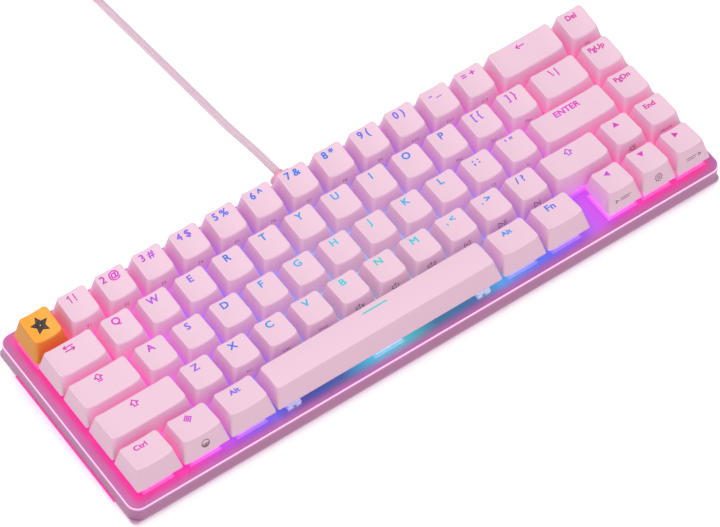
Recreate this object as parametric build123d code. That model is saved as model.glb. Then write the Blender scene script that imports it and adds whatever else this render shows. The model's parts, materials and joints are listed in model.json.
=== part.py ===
from build123d import *
import os
from math import asin, atan2, cos, degrees, hypot, pi, radians, sin, sqrt, tan

os.makedirs("parts", exist_ok=True)

# Millimetres. The deck frame lies in the plate: X to the right, Y to the back, Z out of the
# plate, with its origin on the plate's top at the middle of the key field. The finished part
# is the deck frame turned by the typing angle and stood on its feet.

# Key field
pitch = 19.05
field_units = 16
field_rows = 5
typing_angle = 6.0

# Plate and case
side_margin = 4.4
front_margin = 3.8
back_margin = 5.0
corner_radius = 5.5
plate_thick = 1.6
plate_chamfer = 0.5
band_bottom = -9.0
band_wall = 2.6
lip_bottom = -10.2
lip_radius = 2.5
wedge_inset = 1.5
wedge_radius = 4.5
wedge_lean = 0.42
cavity_inset = 3.6
front_wedge_height = 2.0
floor_thick = 1.6
feet_proud = 1.2

# Keys
key_gap = 6.4
key_travel = 4.0
cap_gap = 0.45
cap_radius = 1.0
cap_wall = 1.3
cap_ceiling = 2.4
cap_top_inset = 2.6
cap_top_radius = 2.0
scoop_depth = 1.0
scoop_reach = 6.9
# One profile a row, from the back: front edge height and inset, back edge height and inset.
cap_profiles = [
    (9.85, 3.95, 11.65, 1.3),
    (8.6, 4.1, 9.2, 1.0),
    (8.65, 4.2, 8.1, 0.75),
    (10.55, 3.8, 9.4, 1.2),
    (10.5, 4.4, 8.4, 0.6),
]
space_front_height = 9.3
space_crown = 0.7
post_radius = 2.8
post_bottom = 0.5
cross_long = 4.0
cross_wide = 1.2
cross_clear = 0.05

# Switches
hole_size = 14.0
body_size = 13.9
flange_size = 15.6
flange_top = 1.0
body_bottom = -5.0
body_floor = -3.8
housing_top = 6.6
led_y = 4.7
contact_y = -3.1
counter_contact_x = -2.5
counter_contact_y = -5.0

# Stabilizers
small_stabilizer = 11.938
space_stabilizer = 50.0
wire_radius = 0.8
wire_arm = 8.4
wire_y = -9.2
wire_z = -2.6
wire_tip_rest = 0.7

# Boards and foams
board_top = -5.0
board_thick = 1.6
socket_bottom = -8.4
board_edge = 0.3

# Socket and plug of the lead
port_x = -5.2
port_z = -5.8
port_mouth = 50.4
grip_end = 58.2
relief_end = 59.7

# Cord
cord_diameter = 3.6
coil_radius = 20.5
coil_step = 3.7
coil_layers = 4
coil_lift = 0.7
coil_x = 19.5
coil_y = 231.0

layout = [
    [("key_escape", 1)] + [("keys_number_row", 1)] * 12 + [("key_backspace", 2), ("key_delete", 1)],
    [("key_tab", 1.5)] + [("keys_top_letter_row", 1)] * 12 + [("key_backslash", 1.5), ("key_page_up", 1)],
    [("key_caps_lock", 1.75)] + [("keys_home_row", 1)] * 11 + [("key_enter", 2.25), ("key_page_down", 1)],
    [("key_shift_left", 2.25)]
    + [("keys_bottom_letter_row", 1)] * 10
    + [("key_shift_right", 1.75), ("key_arrow_up", 1), ("key_end", 1)],
    [("key_control", 1.25), ("key_super", 1.25), ("key_alt_left", 1.25), ("key_space", 6.25)]
    + [("key_alt_right", 1.25), ("key_function", 1.25), (None, 0.5)]
    + [("key_arrow_left", 1), ("key_arrow_down", 1), ("key_arrow_right", 1)],
]
stabilized = {
    "key_backspace": small_stabilizer,
    "key_enter": small_stabilizer,
    "key_shift_left": small_stabilizer,
    "key_space": space_stabilizer,
}

field_x = field_units * pitch / 2
field_y = field_rows * pitch / 2
left = -field_x - side_margin
front = -field_y - front_margin
back = field_y + back_margin
deck_width = -2 * left
deck_depth = back - front
deck_mid = (front + back) / 2

tilt_sin = sin(radians(typing_angle))
tilt_cos = cos(radians(typing_angle))
base_level = front * tilt_sin + (lip_bottom - front_wedge_height) * tilt_cos
rise = feet_proud - base_level
front_reach = front * tilt_cos + plate_chamfer * tilt_sin
back_reach = back * tilt_cos - lip_bottom * tilt_sin
shift_y = -(front_reach + back_reach) / 2
deck_to_table = Location((0, shift_y, rise), (typing_angle, 0, 0))


def keys():
    """Every key as node, row, centre x, centre y, width in units."""
    for row, line in enumerate(layout):
        edge = -field_x
        for node, units in line:
            if node:
                yield node, row, edge + units * pitch / 2, field_y - (row + 0.5) * pitch, units
            edge += units * pitch


all_keys = list(keys())
switch_places = [Pos(x, y, 0) for _, _, x, y, _ in all_keys]
stabilizer_places = [
    Pos(x + side * stabilized[node], y, 0)
    for node, _, x, y, _ in all_keys
    if node in stabilized
    for side in (-1, 1)
]


def block(x0, x1, y0, y1, z0, z1):
    """A box between two corners."""
    return Pos((x0 + x1) / 2, (y0 + y1) / 2, (z0 + z1) / 2) * Box(x1 - x0, y1 - y0, z1 - z0)


def rod(radius, z0, z1, x=0.0, y=0.0):
    """An upright cylinder."""
    return Pos(x, y, (z0 + z1) / 2) * Cylinder(radius, z1 - z0)


def x_rod(radius, x0, x1, y, z):
    """A cylinder along X."""
    return Pos((x0 + x1) / 2, y, z) * Rot(0, 90, 0) * Cylinder(radius, x1 - x0)


def cross(grow, z0, z1):
    """The cross that joins a stem to its keycap, as two bars fused."""
    long, wide = cross_long / 2 + grow, cross_wide / 2 + grow
    return block(-long, long, -wide, wide, z0, z1) + block(-wide, wide, -long, long, z0, z1)


def slab(inset, radius, z0, z1):
    """The deck's outline, drawn in by inset, between two heights."""
    outline = RectangleRounded(deck_width - 2 * inset, deck_depth - 2 * inset, radius)
    return Pos(0, deck_mid, z0) * extrude(outline, z1 - z0)


def tray(inset, radius, z0, z1):
    """The deck's outline, drawn in by inset at the lip, its two sides leaning in below."""
    sections = []
    for z in (z0, z1):
        side = inset + wedge_lean * (lip_bottom - z)
        outline = RectangleRounded(deck_width - 2 * side, deck_depth - 2 * inset, radius)
        sections.append(Pos(0, deck_mid, z) * outline)
    return loft(sections)


def tapered(size0, z0, size1, z1):
    """A four-sided frustum."""
    low = Pos(0, 0, z0) * Rectangle(*size0)
    high = Pos(0, 0, z1) * Rectangle(*size1)
    return loft([low, high])


def solids_of(shape):
    """The solids of one shape or of a list of shapes."""
    if isinstance(shape, (list, tuple)):
        return [solid for item in shape for solid in solids_of(item)]
    return list(shape.solids())


def save(node, shape, place=deck_to_table):
    """One node's STEP file, with each piece as its own solid."""
    solids = [place * solid for solid in solids_of(shape)]
    export_step(Compound(solids), f"parts/{node}.step")


# ---------------------------------------------------------------- keys
def cap_plane(profile, drop=0.0):
    """The plane of a keycap's top edges, and its length from front to back."""
    front_z, front_inset, back_z, back_inset = profile
    y0, y1 = -pitch / 2 + front_inset, pitch / 2 - back_inset
    slope = atan2(back_z - front_z, y1 - y0)
    normal = (0, -sin(slope), cos(slope))
    middle = (0, (y0 + y1) / 2 - drop * normal[1], (front_z + back_z) / 2 - drop * normal[2])
    return Plane(origin=middle, x_dir=(1, 0, 0), z_dir=normal), hypot(y1 - y0, back_z - front_z), slope


def scoop(profile, top_width):
    """The trough in a keycap's top: round at both ends and level between them on a wide key."""
    plane, _, slope = cap_plane(profile)
    radius = (scoop_reach**2 + scoop_depth**2) / (2 * scoop_depth)
    level = max(0.0, top_width / 2 - scoop_reach)
    reach = scoop_reach + 2
    height = -scoop_depth + radius - sqrt(radius**2 - reach**2)
    middle = -scoop_depth + radius - sqrt(radius**2 - (reach / 2) ** 2)
    end = level + reach
    edges = [
        ThreePointArc((level, -scoop_depth), (level + reach / 2, middle), (end, height)),
        Line((end, height), (end, 5)),
        Line((end, 5), (-end, 5)),
        Line((-end, 5), (-end, height)),
        ThreePointArc((-end, height), (-level - reach / 2, middle), (-level, -scoop_depth)),
    ]
    if level > 0:
        edges.append(Line((-level, -scoop_depth), (level, -scoop_depth)))
    across = Plane(origin=plane.origin, x_dir=(1, 0, 0), z_dir=(0, -cos(slope), -sin(slope)))
    return extrude(across * make_face(edges), pitch, both=True)


def crown(profile, width):
    """What a space bar's gently domed top takes off above it."""
    front_z, front_inset, back_z, back_inset = profile
    y0, y1 = -pitch / 2 + front_inset - 0.5, pitch / 2 - back_inset + 0.5
    top = (space_front_height + back_z) / 2 + space_crown
    edges = [
        ThreePointArc((y0, space_front_height), ((y0 + y1) / 2, top), (y1, back_z)),
        Line((y1, back_z), (y1 + 3, back_z)),
        Line((y1 + 3, back_z), (y1 + 3, 16)),
        Line((y1 + 3, 16), (y0 - 3, 16)),
        Line((y0 - 3, 16), (y0 - 3, space_front_height)),
        Line((y0 - 3, space_front_height), (y0, space_front_height)),
    ]
    return extrude(Plane.YZ * make_face(edges), width, both=True)


def keycap(node, row, units):
    """A keycap, with z = 0 at the bottom of its skirt."""
    profile = cap_profiles[row]
    width = units * pitch - 2 * cap_gap
    depth = pitch - 2 * cap_gap
    top_width = units * pitch - 2 * cap_top_inset
    plane, top_length, _ = cap_plane(profile)
    outer = loft(
        [
            RectangleRounded(width, depth, cap_radius),
            plane * RectangleRounded(top_width, top_length, cap_top_radius),
        ]
    )
    outer -= crown(profile, width) if node == "key_space" else scoop(profile, top_width)
    ceiling, _, _ = cap_plane(profile, cap_ceiling)
    inner = loft(
        [
            RectangleRounded(width - 2 * cap_wall, depth - 2 * cap_wall, cap_radius / 2),
            ceiling * RectangleRounded(top_width - 2 * cap_wall, top_length - 2 * cap_wall, cap_radius),
        ]
    )
    cap = outer - inner
    post_top = plane.origin.Z + plane.origin.Y * plane.z_dir.Y / plane.z_dir.Z - 1.75
    for x in stem_offsets(node):
        cap += rod(post_radius, post_bottom, post_top, x)
    for x in stem_offsets(node):
        cap -= Pos(x, 0, 0) * cross(cross_clear, post_bottom - 0.5, cross_top() - key_gap + 0.3)
    return cap


def stem_offsets(node):
    """Where a key's stems stand along its width."""
    reach = stabilized.get(node)
    return [0.0, -reach, reach] if reach else [0.0]


def cross_top():
    """The height of the stems' crosses over the plate."""
    return key_gap + 3.9


def slider():
    """A switch's slider at rest, hollow below for its spring."""
    body = block(-3.5, 3.5, -3.0, 3.0, 0.5, 6.7)
    body += block(-1.5, 1.5, -4.2, 4.2, 4.4, 5.3)
    body -= rod(2.5, 0.4, 5.5)
    return body + cross(0, 6.7, cross_top())


def stabilizer_stem():
    """The stem that slides in a stabilizer, notched for the end of the wire."""
    body = block(-1.9, 1.9, -2.8, 2.8, -0.6, 6.7)
    body -= block(-1.1, 1.1, -2.9, 0.1, -0.7, 2.1)
    return body + cross(0, 6.7, cross_top())


def make_keys():
    """The keys: each node holds its caps and the stems that move with them."""
    nodes = {}
    shapes = {}
    stem, runner = stabilizer_stem(), slider()
    for node, row, x, y, units in all_keys:
        if (node, row, units) not in shapes:
            shapes[node, row, units] = keycap(node, row, units)
        pieces = nodes.setdefault(node, [])
        pieces.append(Pos(x, y, key_gap) * shapes[node, row, units])
        pieces.append(Pos(x, y, 0) * runner)
        for offset in stem_offsets(node)[1:]:
            pieces.append(Pos(x + offset, y, 0) * stem)
    for node, pieces in nodes.items():
        save(node, pieces)


# ---------------------------------------------------------------- switches
def lower_housing():
    """The half of a switch that clips into the plate."""
    half, cavity = body_size / 2, 5.3
    body = block(-half, half, -half, half, body_bottom, 0)
    body += block(-flange_size / 2, flange_size / 2, -flange_size / 2, flange_size / 2, 0, flange_top)
    body -= block(-cavity, cavity, -cavity, cavity, body_floor, flange_top + 0.1)
    body += rod(1.2, body_floor - 0.1, 1.2)
    body += rod(1.95, -8.2, body_bottom + 0.1)
    body -= block(-1.7, 1.7, led_y - 1.1, led_y + 0.4, body_bottom - 0.1, body_floor + 0.1)
    body -= block(4.25, 4.85, contact_y - 0.7, contact_y + 0.7, body_bottom - 0.1, body_floor + 0.1)
    counter_x, counter_y = counter_contact_x, counter_contact_y
    body -= block(counter_x - 0.65, counter_x + 0.65, counter_y - 0.3, counter_y + 0.3, body_bottom - 0.1, -3.7)
    return body


def upper_housing():
    """The clear half of a switch, with the opening for its slider."""
    shell = tapered((14.0, 14.0), flange_top, (10.6, 9.6), housing_top)
    shell -= tapered((12.4, 12.4), flange_top, (9.4, 8.8), 5.6)
    return shell - block(-3.7, 3.7, -3.2, 3.2, 5.0, housing_top + 0.1)


def contacts():
    """The two contacts of a switch with the pins that plug into its socket."""
    leaf = block(4.4, 4.7, contact_y - 0.5, 1.5, -3.7, 0.4)
    leaf += block(4.4, 4.7, contact_y - 0.5, contact_y + 0.5, -7.6, -3.7)
    counter_x, counter_y = counter_contact_x, counter_contact_y
    counter = block(counter_x - 0.5, counter_x + 0.5, counter_y - 0.15, counter_y + 0.15, -7.6, -0.5)
    return [leaf, counter]


def hot_swap_socket():
    """The socket under the board that a switch's pins plug into."""
    body = block(-4.0, 5.8, -6.3, -2.1, socket_bottom, board_top - board_thick)
    body -= block(4.1, 5.0, contact_y - 0.7, contact_y + 0.7, socket_bottom - 0.1, -6.5)
    counter_x, counter_y = counter_contact_x, counter_contact_y
    body -= block(counter_x - 0.7, counter_x + 0.7, counter_y - 0.4, counter_y + 0.4, socket_bottom - 0.1, -6.5)
    return body


def make_switches():
    """Each kind of switch piece is one node, repeated at every key."""
    pieces = {
        "switch_lower_housings": lower_housing(),
        "switch_upper_housings": upper_housing(),
        "switch_springs": rod(2.2, body_floor, 5.4) - rod(1.6, body_floor - 1, 6.4),
        "switch_contacts": contacts(),
        "switch_sockets": hot_swap_socket(),
        "switch_leds": block(-1.5, 1.5, led_y - 1.3, led_y + 1.3, -6.9, board_top - 0.05),
    }
    for node, piece in pieces.items():
        solids = solids_of(piece)
        save(node, [place * solid for place in switch_places for solid in solids])


# ---------------------------------------------------------------- stabilizers
def stabilizer_housing(side):
    """A stabilizer's housing, with a lug for the wire on the side facing its key's middle."""
    body = block(-3.3, 3.3, -8.3, 6.3, -4.8, 2.6)
    lug = block(1.5, 3.3, -10.3, -8.2, -4.2, -1.8)
    body += lug if side < 0 else mirror(lug, Plane.YZ)
    body -= block(-2.1, 2.1, -3.0, 3.0, -4.9, 2.7)
    body -= block(-1.1, 1.1, -8.4, -2.9, -4.9, 1.8)
    body -= block(-3.4, 3.4, -8.4, -7.4, 2.1, 2.7)
    return body - x_rod(wire_radius + 0.08, -4, 4, wire_y, wire_z)


def stabilizer_wire(reach):
    """A bent wire: its bar turns in the housings' lugs and its two arms lift the stems."""
    lift = asin((wire_tip_rest - wire_z) / wire_arm)
    tip_y, tip_z = wire_y + wire_arm * cos(lift), wire_tip_rest
    corners = [(-reach, tip_y, tip_z), (-reach, wire_y, wire_z), (reach, wire_y, wire_z), (reach, tip_y, tip_z)]
    path = FilletPolyline(*corners, radius=1.2)
    section = Plane(origin=path @ 0, z_dir=path % 0) * Circle(wire_radius)
    return sweep(section, path=path)


def make_stabilizers():
    """Housings in one node, and a wire for each long key."""
    housings = []
    for node, _, x, y, _ in all_keys:
        if node in stabilized:
            reach = stabilized[node]
            housings += [Pos(x + side * reach, y, 0) * stabilizer_housing(side) for side in (-1, 1)]
            save("stabilizer_wire_" + node[len("key_"):], Pos(x, y, 0) * stabilizer_wire(reach))
    save("stabilizer_housings", housings)


# ---------------------------------------------------------------- plate, boards, foams
back_screws = [(-143.5, back - 4.5), (-47.0, back - 4.5), (47.0, back - 4.5), (143.5, back - 4.5)]
front_screws = [(-140.0, front + 4.3), (-85.0, front + 4.3), (38.0, front + 4.3), (140.0, front + 4.3)]
screw_places = back_screws + front_screws
boss_half = 3.5
screw_seat = -11.2


def boss(x, y, grow, z0, z1):
    """The block round a screw, from the case's wall inwards."""
    if y > 0:
        return block(x - boss_half - grow, x + boss_half + grow, y - 1.9 - grow, back - band_wall + 0.2, z0, z1)
    return block(x - boss_half - grow, x + boss_half + grow, front + band_wall - 0.2, y + 1.8 + grow, z0, z1)


def inner_slab(z0, z1):
    """The space inside the case's band, clear of its wall and its screw blocks."""
    body = slab(band_wall + board_edge, corner_radius - band_wall, z0, z1)
    return body - [boss(x, y, 0.3, z0 - 1, z1 + 1) for x, y in screw_places]


def make_plate():
    """The plate that every switch clips into."""
    body = slab(0, corner_radius, -plate_thick, 0)
    body = chamfer(body.faces().sort_by(Axis.Z)[-1].edges(), plate_chamfer)
    cuts = [place * Box(hole_size, hole_size, 8) for place in switch_places]
    cuts += [place * block(-3.5, 3.5, -8.7, 6.6, -4, 4) for place in stabilizer_places]
    save("top_plate", body - cuts)


def make_board():
    """The circuit board, with what is soldered under it."""
    bottom = board_top - board_thick
    body = inner_slab(bottom, board_top)
    holes = []
    for place in switch_places:
        holes.append(place * rod(2.05, bottom - 1, board_top + 1))
        holes.append(place * block(-1.7, 1.7, led_y - 1.5, led_y + 1.5, bottom - 1, board_top + 1))
        holes.append(place * rod(0.75, bottom - 1, board_top + 1, 4.55, contact_y))
        holes.append(place * rod(0.75, bottom - 1, board_top + 1, counter_contact_x, counter_contact_y))
    holes.append(block(port_x - 4.7, port_x + 4.7, 45.0, back, bottom - 1, board_top + 1))
    save("circuit_board", body - holes)
    diode = block(-7.6, -5.0, 7.4, 8.6, bottom - 1.0, bottom)
    chips = [place * diode for place in switch_places]
    chip_y = 1.5 * pitch
    for x, half in ((3.2, 2.8), (41.3, 2.3), (-54.0, 2.3)):
        chips.append(block(x - half, x + half, chip_y - half, chip_y + half, bottom - 0.9, bottom))
    save("board_chips", chips)


def make_foams():
    """Sound-damping foam between plate and board, and under the board."""
    body = inner_slab(board_top + 0.1, -plate_thick - 0.1)
    cuts = [place * Box(hole_size + 0.3, hole_size + 0.3, 20) for place in switch_places]
    cuts += [place * block(-3.7, 3.7, -8.9, 6.8, -9, 4) for place in stabilizer_places]
    for node, _, x, y, _ in all_keys:
        if node in stabilized:
            reach = stabilized[node] + 3.7
            cuts.append(block(x - reach, x + reach, y - 10.8, y - 8.0, -9, 4))
    cuts.append(block(port_x - 6, port_x + 6, 44.8, back, -9, 0))
    save("plate_foam", body - cuts)
    lower = block(-148, 148, front + 8.0, 26, -30, socket_bottom - 0.3)
    save("case_foam", lower - below_plane(floor_thick + 0.2))


def below_plane(height):
    """Everything up to a level above the case's underside, in the deck frame."""
    level = block(-200, 200, -100, 100, -100, feet_proud + height)
    return deck_to_table.inverse() * level


def port_bar(width, height, radius, y0, y1):
    """A round-ended bar along Y on the port's axis."""
    across = Plane(origin=(port_x, y0, port_z), x_dir=(1, 0, 0), z_dir=(0, 1, 0))
    return extrude(across * RectangleRounded(width, height, radius), y1 - y0)


def usb_socket():
    """The lead's socket: a steel shell round a plastic tongue."""
    shell = port_bar(8.94, 3.16, 1.57, 45.2, port_mouth) - port_bar(8.4, 2.6, 1.29, 45.6, port_mouth + 1)
    tongue = block(port_x - 3.3, port_x + 3.3, 45.5, port_mouth - 0.8, port_z - 0.35, port_z + 0.35)
    return shell + tongue


# ---------------------------------------------------------------- case
foot_x = 110.0
foot_axis_y = 42.0
foot_axis_z = feet_proud + 2.7
foot_half = 16.0
foot_round = 2.2
foot_reach = 11.8
pin_radius = 1.0
pad_places = [(-125.0, -38.0), (125.0, -38.0), (-70.0, 45.0), (70.0, 45.0)]
strip_front = -37.0
strip_back = 38.0


def upper_case():
    """The band round the keyboard, with blocks for the screws and an opening for the plug."""
    body = slab(0, corner_radius, band_bottom, -plate_thick)
    body -= slab(band_wall, corner_radius - band_wall, band_bottom - 1, 0)
    body += [boss(x, y, 0, band_bottom, -plate_thick) for x, y in screw_places]
    body -= [rod(1.05, band_bottom - 1, -3.2, x, y) for x, y in screw_places]
    return body - block(port_x - 6, port_x + 6, back - 4, back + 1, band_bottom - 1, -2.4)


def bottom_case():
    """The tray: a lip under the band, a wedge below it, columns, pockets and recesses."""
    body = slab(0, lip_radius, lip_bottom, band_bottom) + tray(wedge_inset, wedge_radius, -30, lip_bottom)
    cavity = tray(cavity_inset, 2.0, -40, band_bottom + 1) - below_plane(floor_thick)
    body = body - below_plane(0) - cavity
    for x, y in screw_places:
        body += rod(3.2, -30, band_bottom, x, y) - below_plane(0.1)
    for x, y in screw_places:
        body -= rod(1.1, -14, band_bottom + 1, x, y)
        body -= rod(2.3, -40, screw_seat, x, y)
    for side in (-1, 1):
        slot = block(152.5, 160, strip_front - 0.2, strip_back + 0.2, lip_bottom, band_bottom + 1)
        body -= slot if side > 0 else mirror(slot, Plane.YZ)
    body = deck_to_table * body
    for side in (-1, 1):
        middle = Pos(side * foot_x, foot_axis_y, feet_proud)
        body += middle * block(-foot_half - 1.8, foot_half + 1.8, -foot_reach - 2.2, 4.0, 0, 6.7)
        body -= middle * block(-foot_half - 0.4, foot_half + 0.4, -foot_reach - 0.8, foot_round + 0.4, -1, 5.3)
        x0, x1 = side * foot_x - foot_half - 1.4, side * foot_x + foot_half + 1.4
        body -= x_rod(pin_radius + 0.02, x0, x1, foot_axis_y, foot_axis_z)
    for x, y in pad_places:
        body -= Pos(x, y, feet_proud - 1) * extrude(RectangleRounded(34.2, 7.2, 3.0), 1.85)
    return body


def flip_foot(side):
    """A fold-out foot, closed in its pocket, with its pin's bore at the back."""
    body = block(-foot_half, foot_half, foot_axis_y - foot_reach, foot_axis_y, -foot_round, foot_round)
    body += x_rod(foot_round, -foot_half, foot_half, foot_axis_y, 0)
    body -= x_rod(pin_radius + 0.05, -foot_half - 1, foot_half + 1, foot_axis_y, 0)
    for y in (4.0, 7.0):
        body -= block(-12, 12, foot_axis_y - y - 2, foot_axis_y - y - 1, -foot_round - 1, -foot_round + 0.6)
    return Pos(side * foot_x, 0, foot_axis_z) * body


def light_strip(side):
    """The diffuser let into the lip on one side."""
    body = block(152.8, -left + 0.5, strip_front, strip_back, lip_bottom + 0.05, band_bottom - 0.05)
    return body if side > 0 else mirror(body, Plane.YZ)


def side_light_board(side):
    """The slim board behind a side diffuser, with its lamps."""
    pieces = [block(151.2, 152.0, strip_front, strip_back, -11.4, band_bottom - 0.1)]
    lamps = 5
    for i in range(lamps):
        y = strip_front + (i + 0.5) * (strip_back - strip_front) / lamps
        pieces.append(block(152.0, 152.7, y - 1.5, y + 1.5, lip_bottom + 0.05, band_bottom - 0.15))
    return pieces if side > 0 else [mirror(piece, Plane.YZ) for piece in pieces]


def case_screw(x, y):
    """A pan-head screw that comes up from below, with a cross recess."""
    head = rod(2.1, screw_seat - 1.2, screw_seat, x, y) + rod(1.0, screw_seat - 0.1, -4.2, x, y)
    slots = block(-1.3, 1.3, -0.25, 0.25, screw_seat - 2, screw_seat - 0.7)
    return head - Pos(x, y, 0) * slots - Pos(x, y, 0) * Rot(0, 0, 90) * slots


def make_case():
    """The case, its feet and what is fixed in it."""
    table = Location()
    save("upper_case", upper_case())
    save("bottom_case", bottom_case(), table)
    save("light_strip_left", light_strip(-1))
    save("light_strip_right", light_strip(1))
    save("side_light_boards", side_light_board(-1) + side_light_board(1))
    save("usb_socket", usb_socket())
    save("case_screws", [case_screw(x, y) for x, y in screw_places])
    pads = [Pos(x, y, 0) * extrude(RectangleRounded(34.0, 7.0, 2.9), feet_proud + 0.8) for x, y in pad_places]
    save("rubber_feet", pads, table)
    save("flip_foot_left", flip_foot(-1), table)
    save("flip_foot_right", flip_foot(1), table)
    pins = []
    for side in (-1, 1):
        x = side * foot_x
        pins.append(x_rod(pin_radius, x - foot_half - 1.3, x + foot_half + 1.3, foot_axis_y, foot_axis_z))
    save("foot_pins", pins, table)


# ---------------------------------------------------------------- cord and plugs
def usb_c_plug():
    """The plug in the socket: a steel shell and a moulded grip with a short relief."""
    shell = port_bar(8.25, 2.4, 1.19, 45.9, port_mouth + 0.2) - port_bar(7.2, 1.5, 0.7, 45.8, 50.1)
    grip = port_bar(11.0, 6.0, 2.4, port_mouth + 0.2, grip_end)
    grip = fillet(grip.faces().sort_by(Axis.Y)[-1].edges(), 0.8)
    relief = port_bar(4.8, 4.8, 2.39, grip_end, relief_end)
    return shell, grip + relief


ring_z = coil_lift + cord_diameter / 2
outer_turn = coil_radius + coil_step
lead_start = (deck_to_table * Pos(port_x, relief_end, port_z)).position
# The lead lies straight on the table between the droop behind the keyboard and the coil.
lead_route = [
    (port_x, lead_start.Y, lead_start.Z),
    (-5.4, 73.0, 18.7),
    (-4.4, 89.0, 14.0),
    (-2.2, 105.0, 7.0),
    (-0.2, 122.0, 1.9),
    (-3.9, 207.0, 1.85),
    (coil_x - outer_turn, coil_y, ring_z),
]
top_z = ring_z + (coil_layers - 1) * coil_step
# The tail comes down from the top of the coil to the plug beside it.
tail_route = [
    (coil_x, coil_y + outer_turn, top_z),
    (coil_x + 12, coil_y + outer_turn, top_z - 0.5),
    (coil_x + 25, coil_y + outer_turn + 0.7, 9.0),
    (coil_x + 38, coil_y + outer_turn + 0.9, 4.8),
    (coil_x + 49, coil_y + outer_turn + 0.2, 4.0),
    (coil_x + 59, coil_y + outer_turn - 1.0, 4.0),
]


def cord_tube(route, name):
    """A tube along a route: straight runs joined by arcs as large as the runs allow."""
    points = [Vector(*point) for point in route]
    radii = []
    for before, here, after in zip(points, points[1:], points[2:]):
        turn = (here - before).get_angle(after - here)
        shorter = min((here - before).length, (after - here).length)
        radii.append(0.45 * shorter / tan(radians(turn / 2)))
    path = FilletPolyline(*points, radius=radii)
    tube = sweep(Plane(origin=path @ 0, z_dir=path % 0) * Circle(cord_diameter / 2), path=path)
    expected = pi * cord_diameter**2 / 4 * path.length
    print(name, "radii", [round(radius, 1) for radius in radii], "length", round(path.length, 1))
    print(name, "volume over section times length", round(tube.volume / expected, 4))
    return tube, path.length


def coil():
    """The outer shape of the wound cord: a ring of three turns side by side in four layers."""
    half_wide = coil_step + cord_diameter / 2
    height = (coil_layers - 1) * coil_step + cord_diameter
    section = Pos(coil_radius, coil_lift + height / 2) * RectangleRounded(2 * half_wide, height, 1.7)
    ring = revolve(Plane.XZ * section, Axis.Z)
    return Pos(coil_x, coil_y, 0) * ring


def tie():
    """The strap round the coil's bundle."""
    inner = coil_radius - coil_step - cord_diameter / 2 - 0.7
    outer = coil_radius + coil_step + cord_diameter / 2 + 0.1
    top = coil_lift + (coil_layers - 1) * coil_step + cord_diameter
    thick = coil_lift - 0.1
    strap = block(inner - thick, outer + thick, -4, 4, 0, top + 0.1 + thick)
    strap -= block(inner, outer, -5, 5, thick, top + 0.1)
    return Pos(coil_x, coil_y, 0) * Rot(0, 0, -35) * strap


def usb_a_plug():
    """The plug on the far end: a steel shell with its tongue, and a moulded grip."""
    end, before = Vector(*tail_route[-1]), Vector(*tail_route[-2])
    way = (end - before).normalized()
    plane = Plane(origin=end, x_dir=Vector(0, 0, 1).cross(way), z_dir=way)
    grip = plane * extrude(Circle(2.6), 7)
    grip += plane * Pos(0, 0, 6) * extrude(RectangleRounded(16, 8, 2.2), 24)
    face = plane * Pos(0, 0, 30)
    shell = face * extrude(Rectangle(12, 4.5), 14)
    shell -= face * Pos(0, 0, 3) * extrude(Rectangle(11.4, 3.9), 12)
    shell += face * Pos(0, 1.0, 2.9) * extrude(Rectangle(11.2, 1.8), 10.4)
    return shell, grip


def make_cord():
    """The lead, its coil and tie, and the plugs."""
    table = Location()
    shell, grip = usb_c_plug()
    save("usb_c_plug_shell", shell)
    save("usb_c_plug_grip", grip)
    lead, lead_length = cord_tube(lead_route, "lead")
    tail, tail_length = cord_tube(tail_route, "tail")
    save("cable", [lead, tail], table)
    save("cable_coil", coil(), table)
    save("cable_tie", tie(), table)
    shell, grip = usb_a_plug()
    save("usb_a_plug_shell", shell, table)
    save("usb_a_plug_grip", grip, table)
    turns = 3 * coil_layers + 0.25
    print("cord length", round(lead_length + tail_length + turns * 2 * pi * coil_radius, 1))
    print("lead starts at", [round(value, 2) for value in lead_route[0]])


print("wire turn", round(degrees(asin((wire_tip_rest - wire_z) / wire_arm)), 2))
print("deck shift", round(shift_y, 3), round(rise, 3))
make_keys()
make_switches()
make_stabilizers()
make_plate()
make_board()
make_foams()
make_case()
make_cord()
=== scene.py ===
import bpy
import bmesh
import json
from math import atan2, cos, hypot, pi, radians, sin, sqrt
from mathutils import Matrix, Vector


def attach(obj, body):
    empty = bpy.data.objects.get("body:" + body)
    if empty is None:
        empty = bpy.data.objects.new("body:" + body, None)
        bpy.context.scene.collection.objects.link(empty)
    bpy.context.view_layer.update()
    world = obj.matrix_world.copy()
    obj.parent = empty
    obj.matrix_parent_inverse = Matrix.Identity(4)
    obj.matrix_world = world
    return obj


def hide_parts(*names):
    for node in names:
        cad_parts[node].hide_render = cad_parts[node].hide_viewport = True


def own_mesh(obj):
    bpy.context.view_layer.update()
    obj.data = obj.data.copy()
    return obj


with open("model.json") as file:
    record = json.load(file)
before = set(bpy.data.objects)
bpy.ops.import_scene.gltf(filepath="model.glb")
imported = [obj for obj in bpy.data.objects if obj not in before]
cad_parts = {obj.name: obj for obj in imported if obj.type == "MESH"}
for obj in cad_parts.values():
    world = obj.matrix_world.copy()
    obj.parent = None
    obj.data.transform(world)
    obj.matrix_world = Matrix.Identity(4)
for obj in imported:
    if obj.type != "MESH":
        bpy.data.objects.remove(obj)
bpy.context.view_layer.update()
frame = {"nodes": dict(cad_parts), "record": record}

mm = 0.001

# the deck: the plate's own frame, leaning back on the case
deck = {"pitch": 19.05, "units": 16, "lean": 6.0, "shiftY": -1.156, "rise": 18.709}
deckMatrix = (
    Matrix.Translation((0, deck["shiftY"] * mm, deck["rise"] * mm))
    @ Matrix.Rotation(radians(deck["lean"]), 4, "X")
)


def srgb(red, green, blue):
    values = [channel / 255 for channel in (red, green, blue)]
    return tuple(v / 12.92 if v <= 0.04045 else ((v + 0.055) / 1.055) ** 2.4 for v in values)


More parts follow.
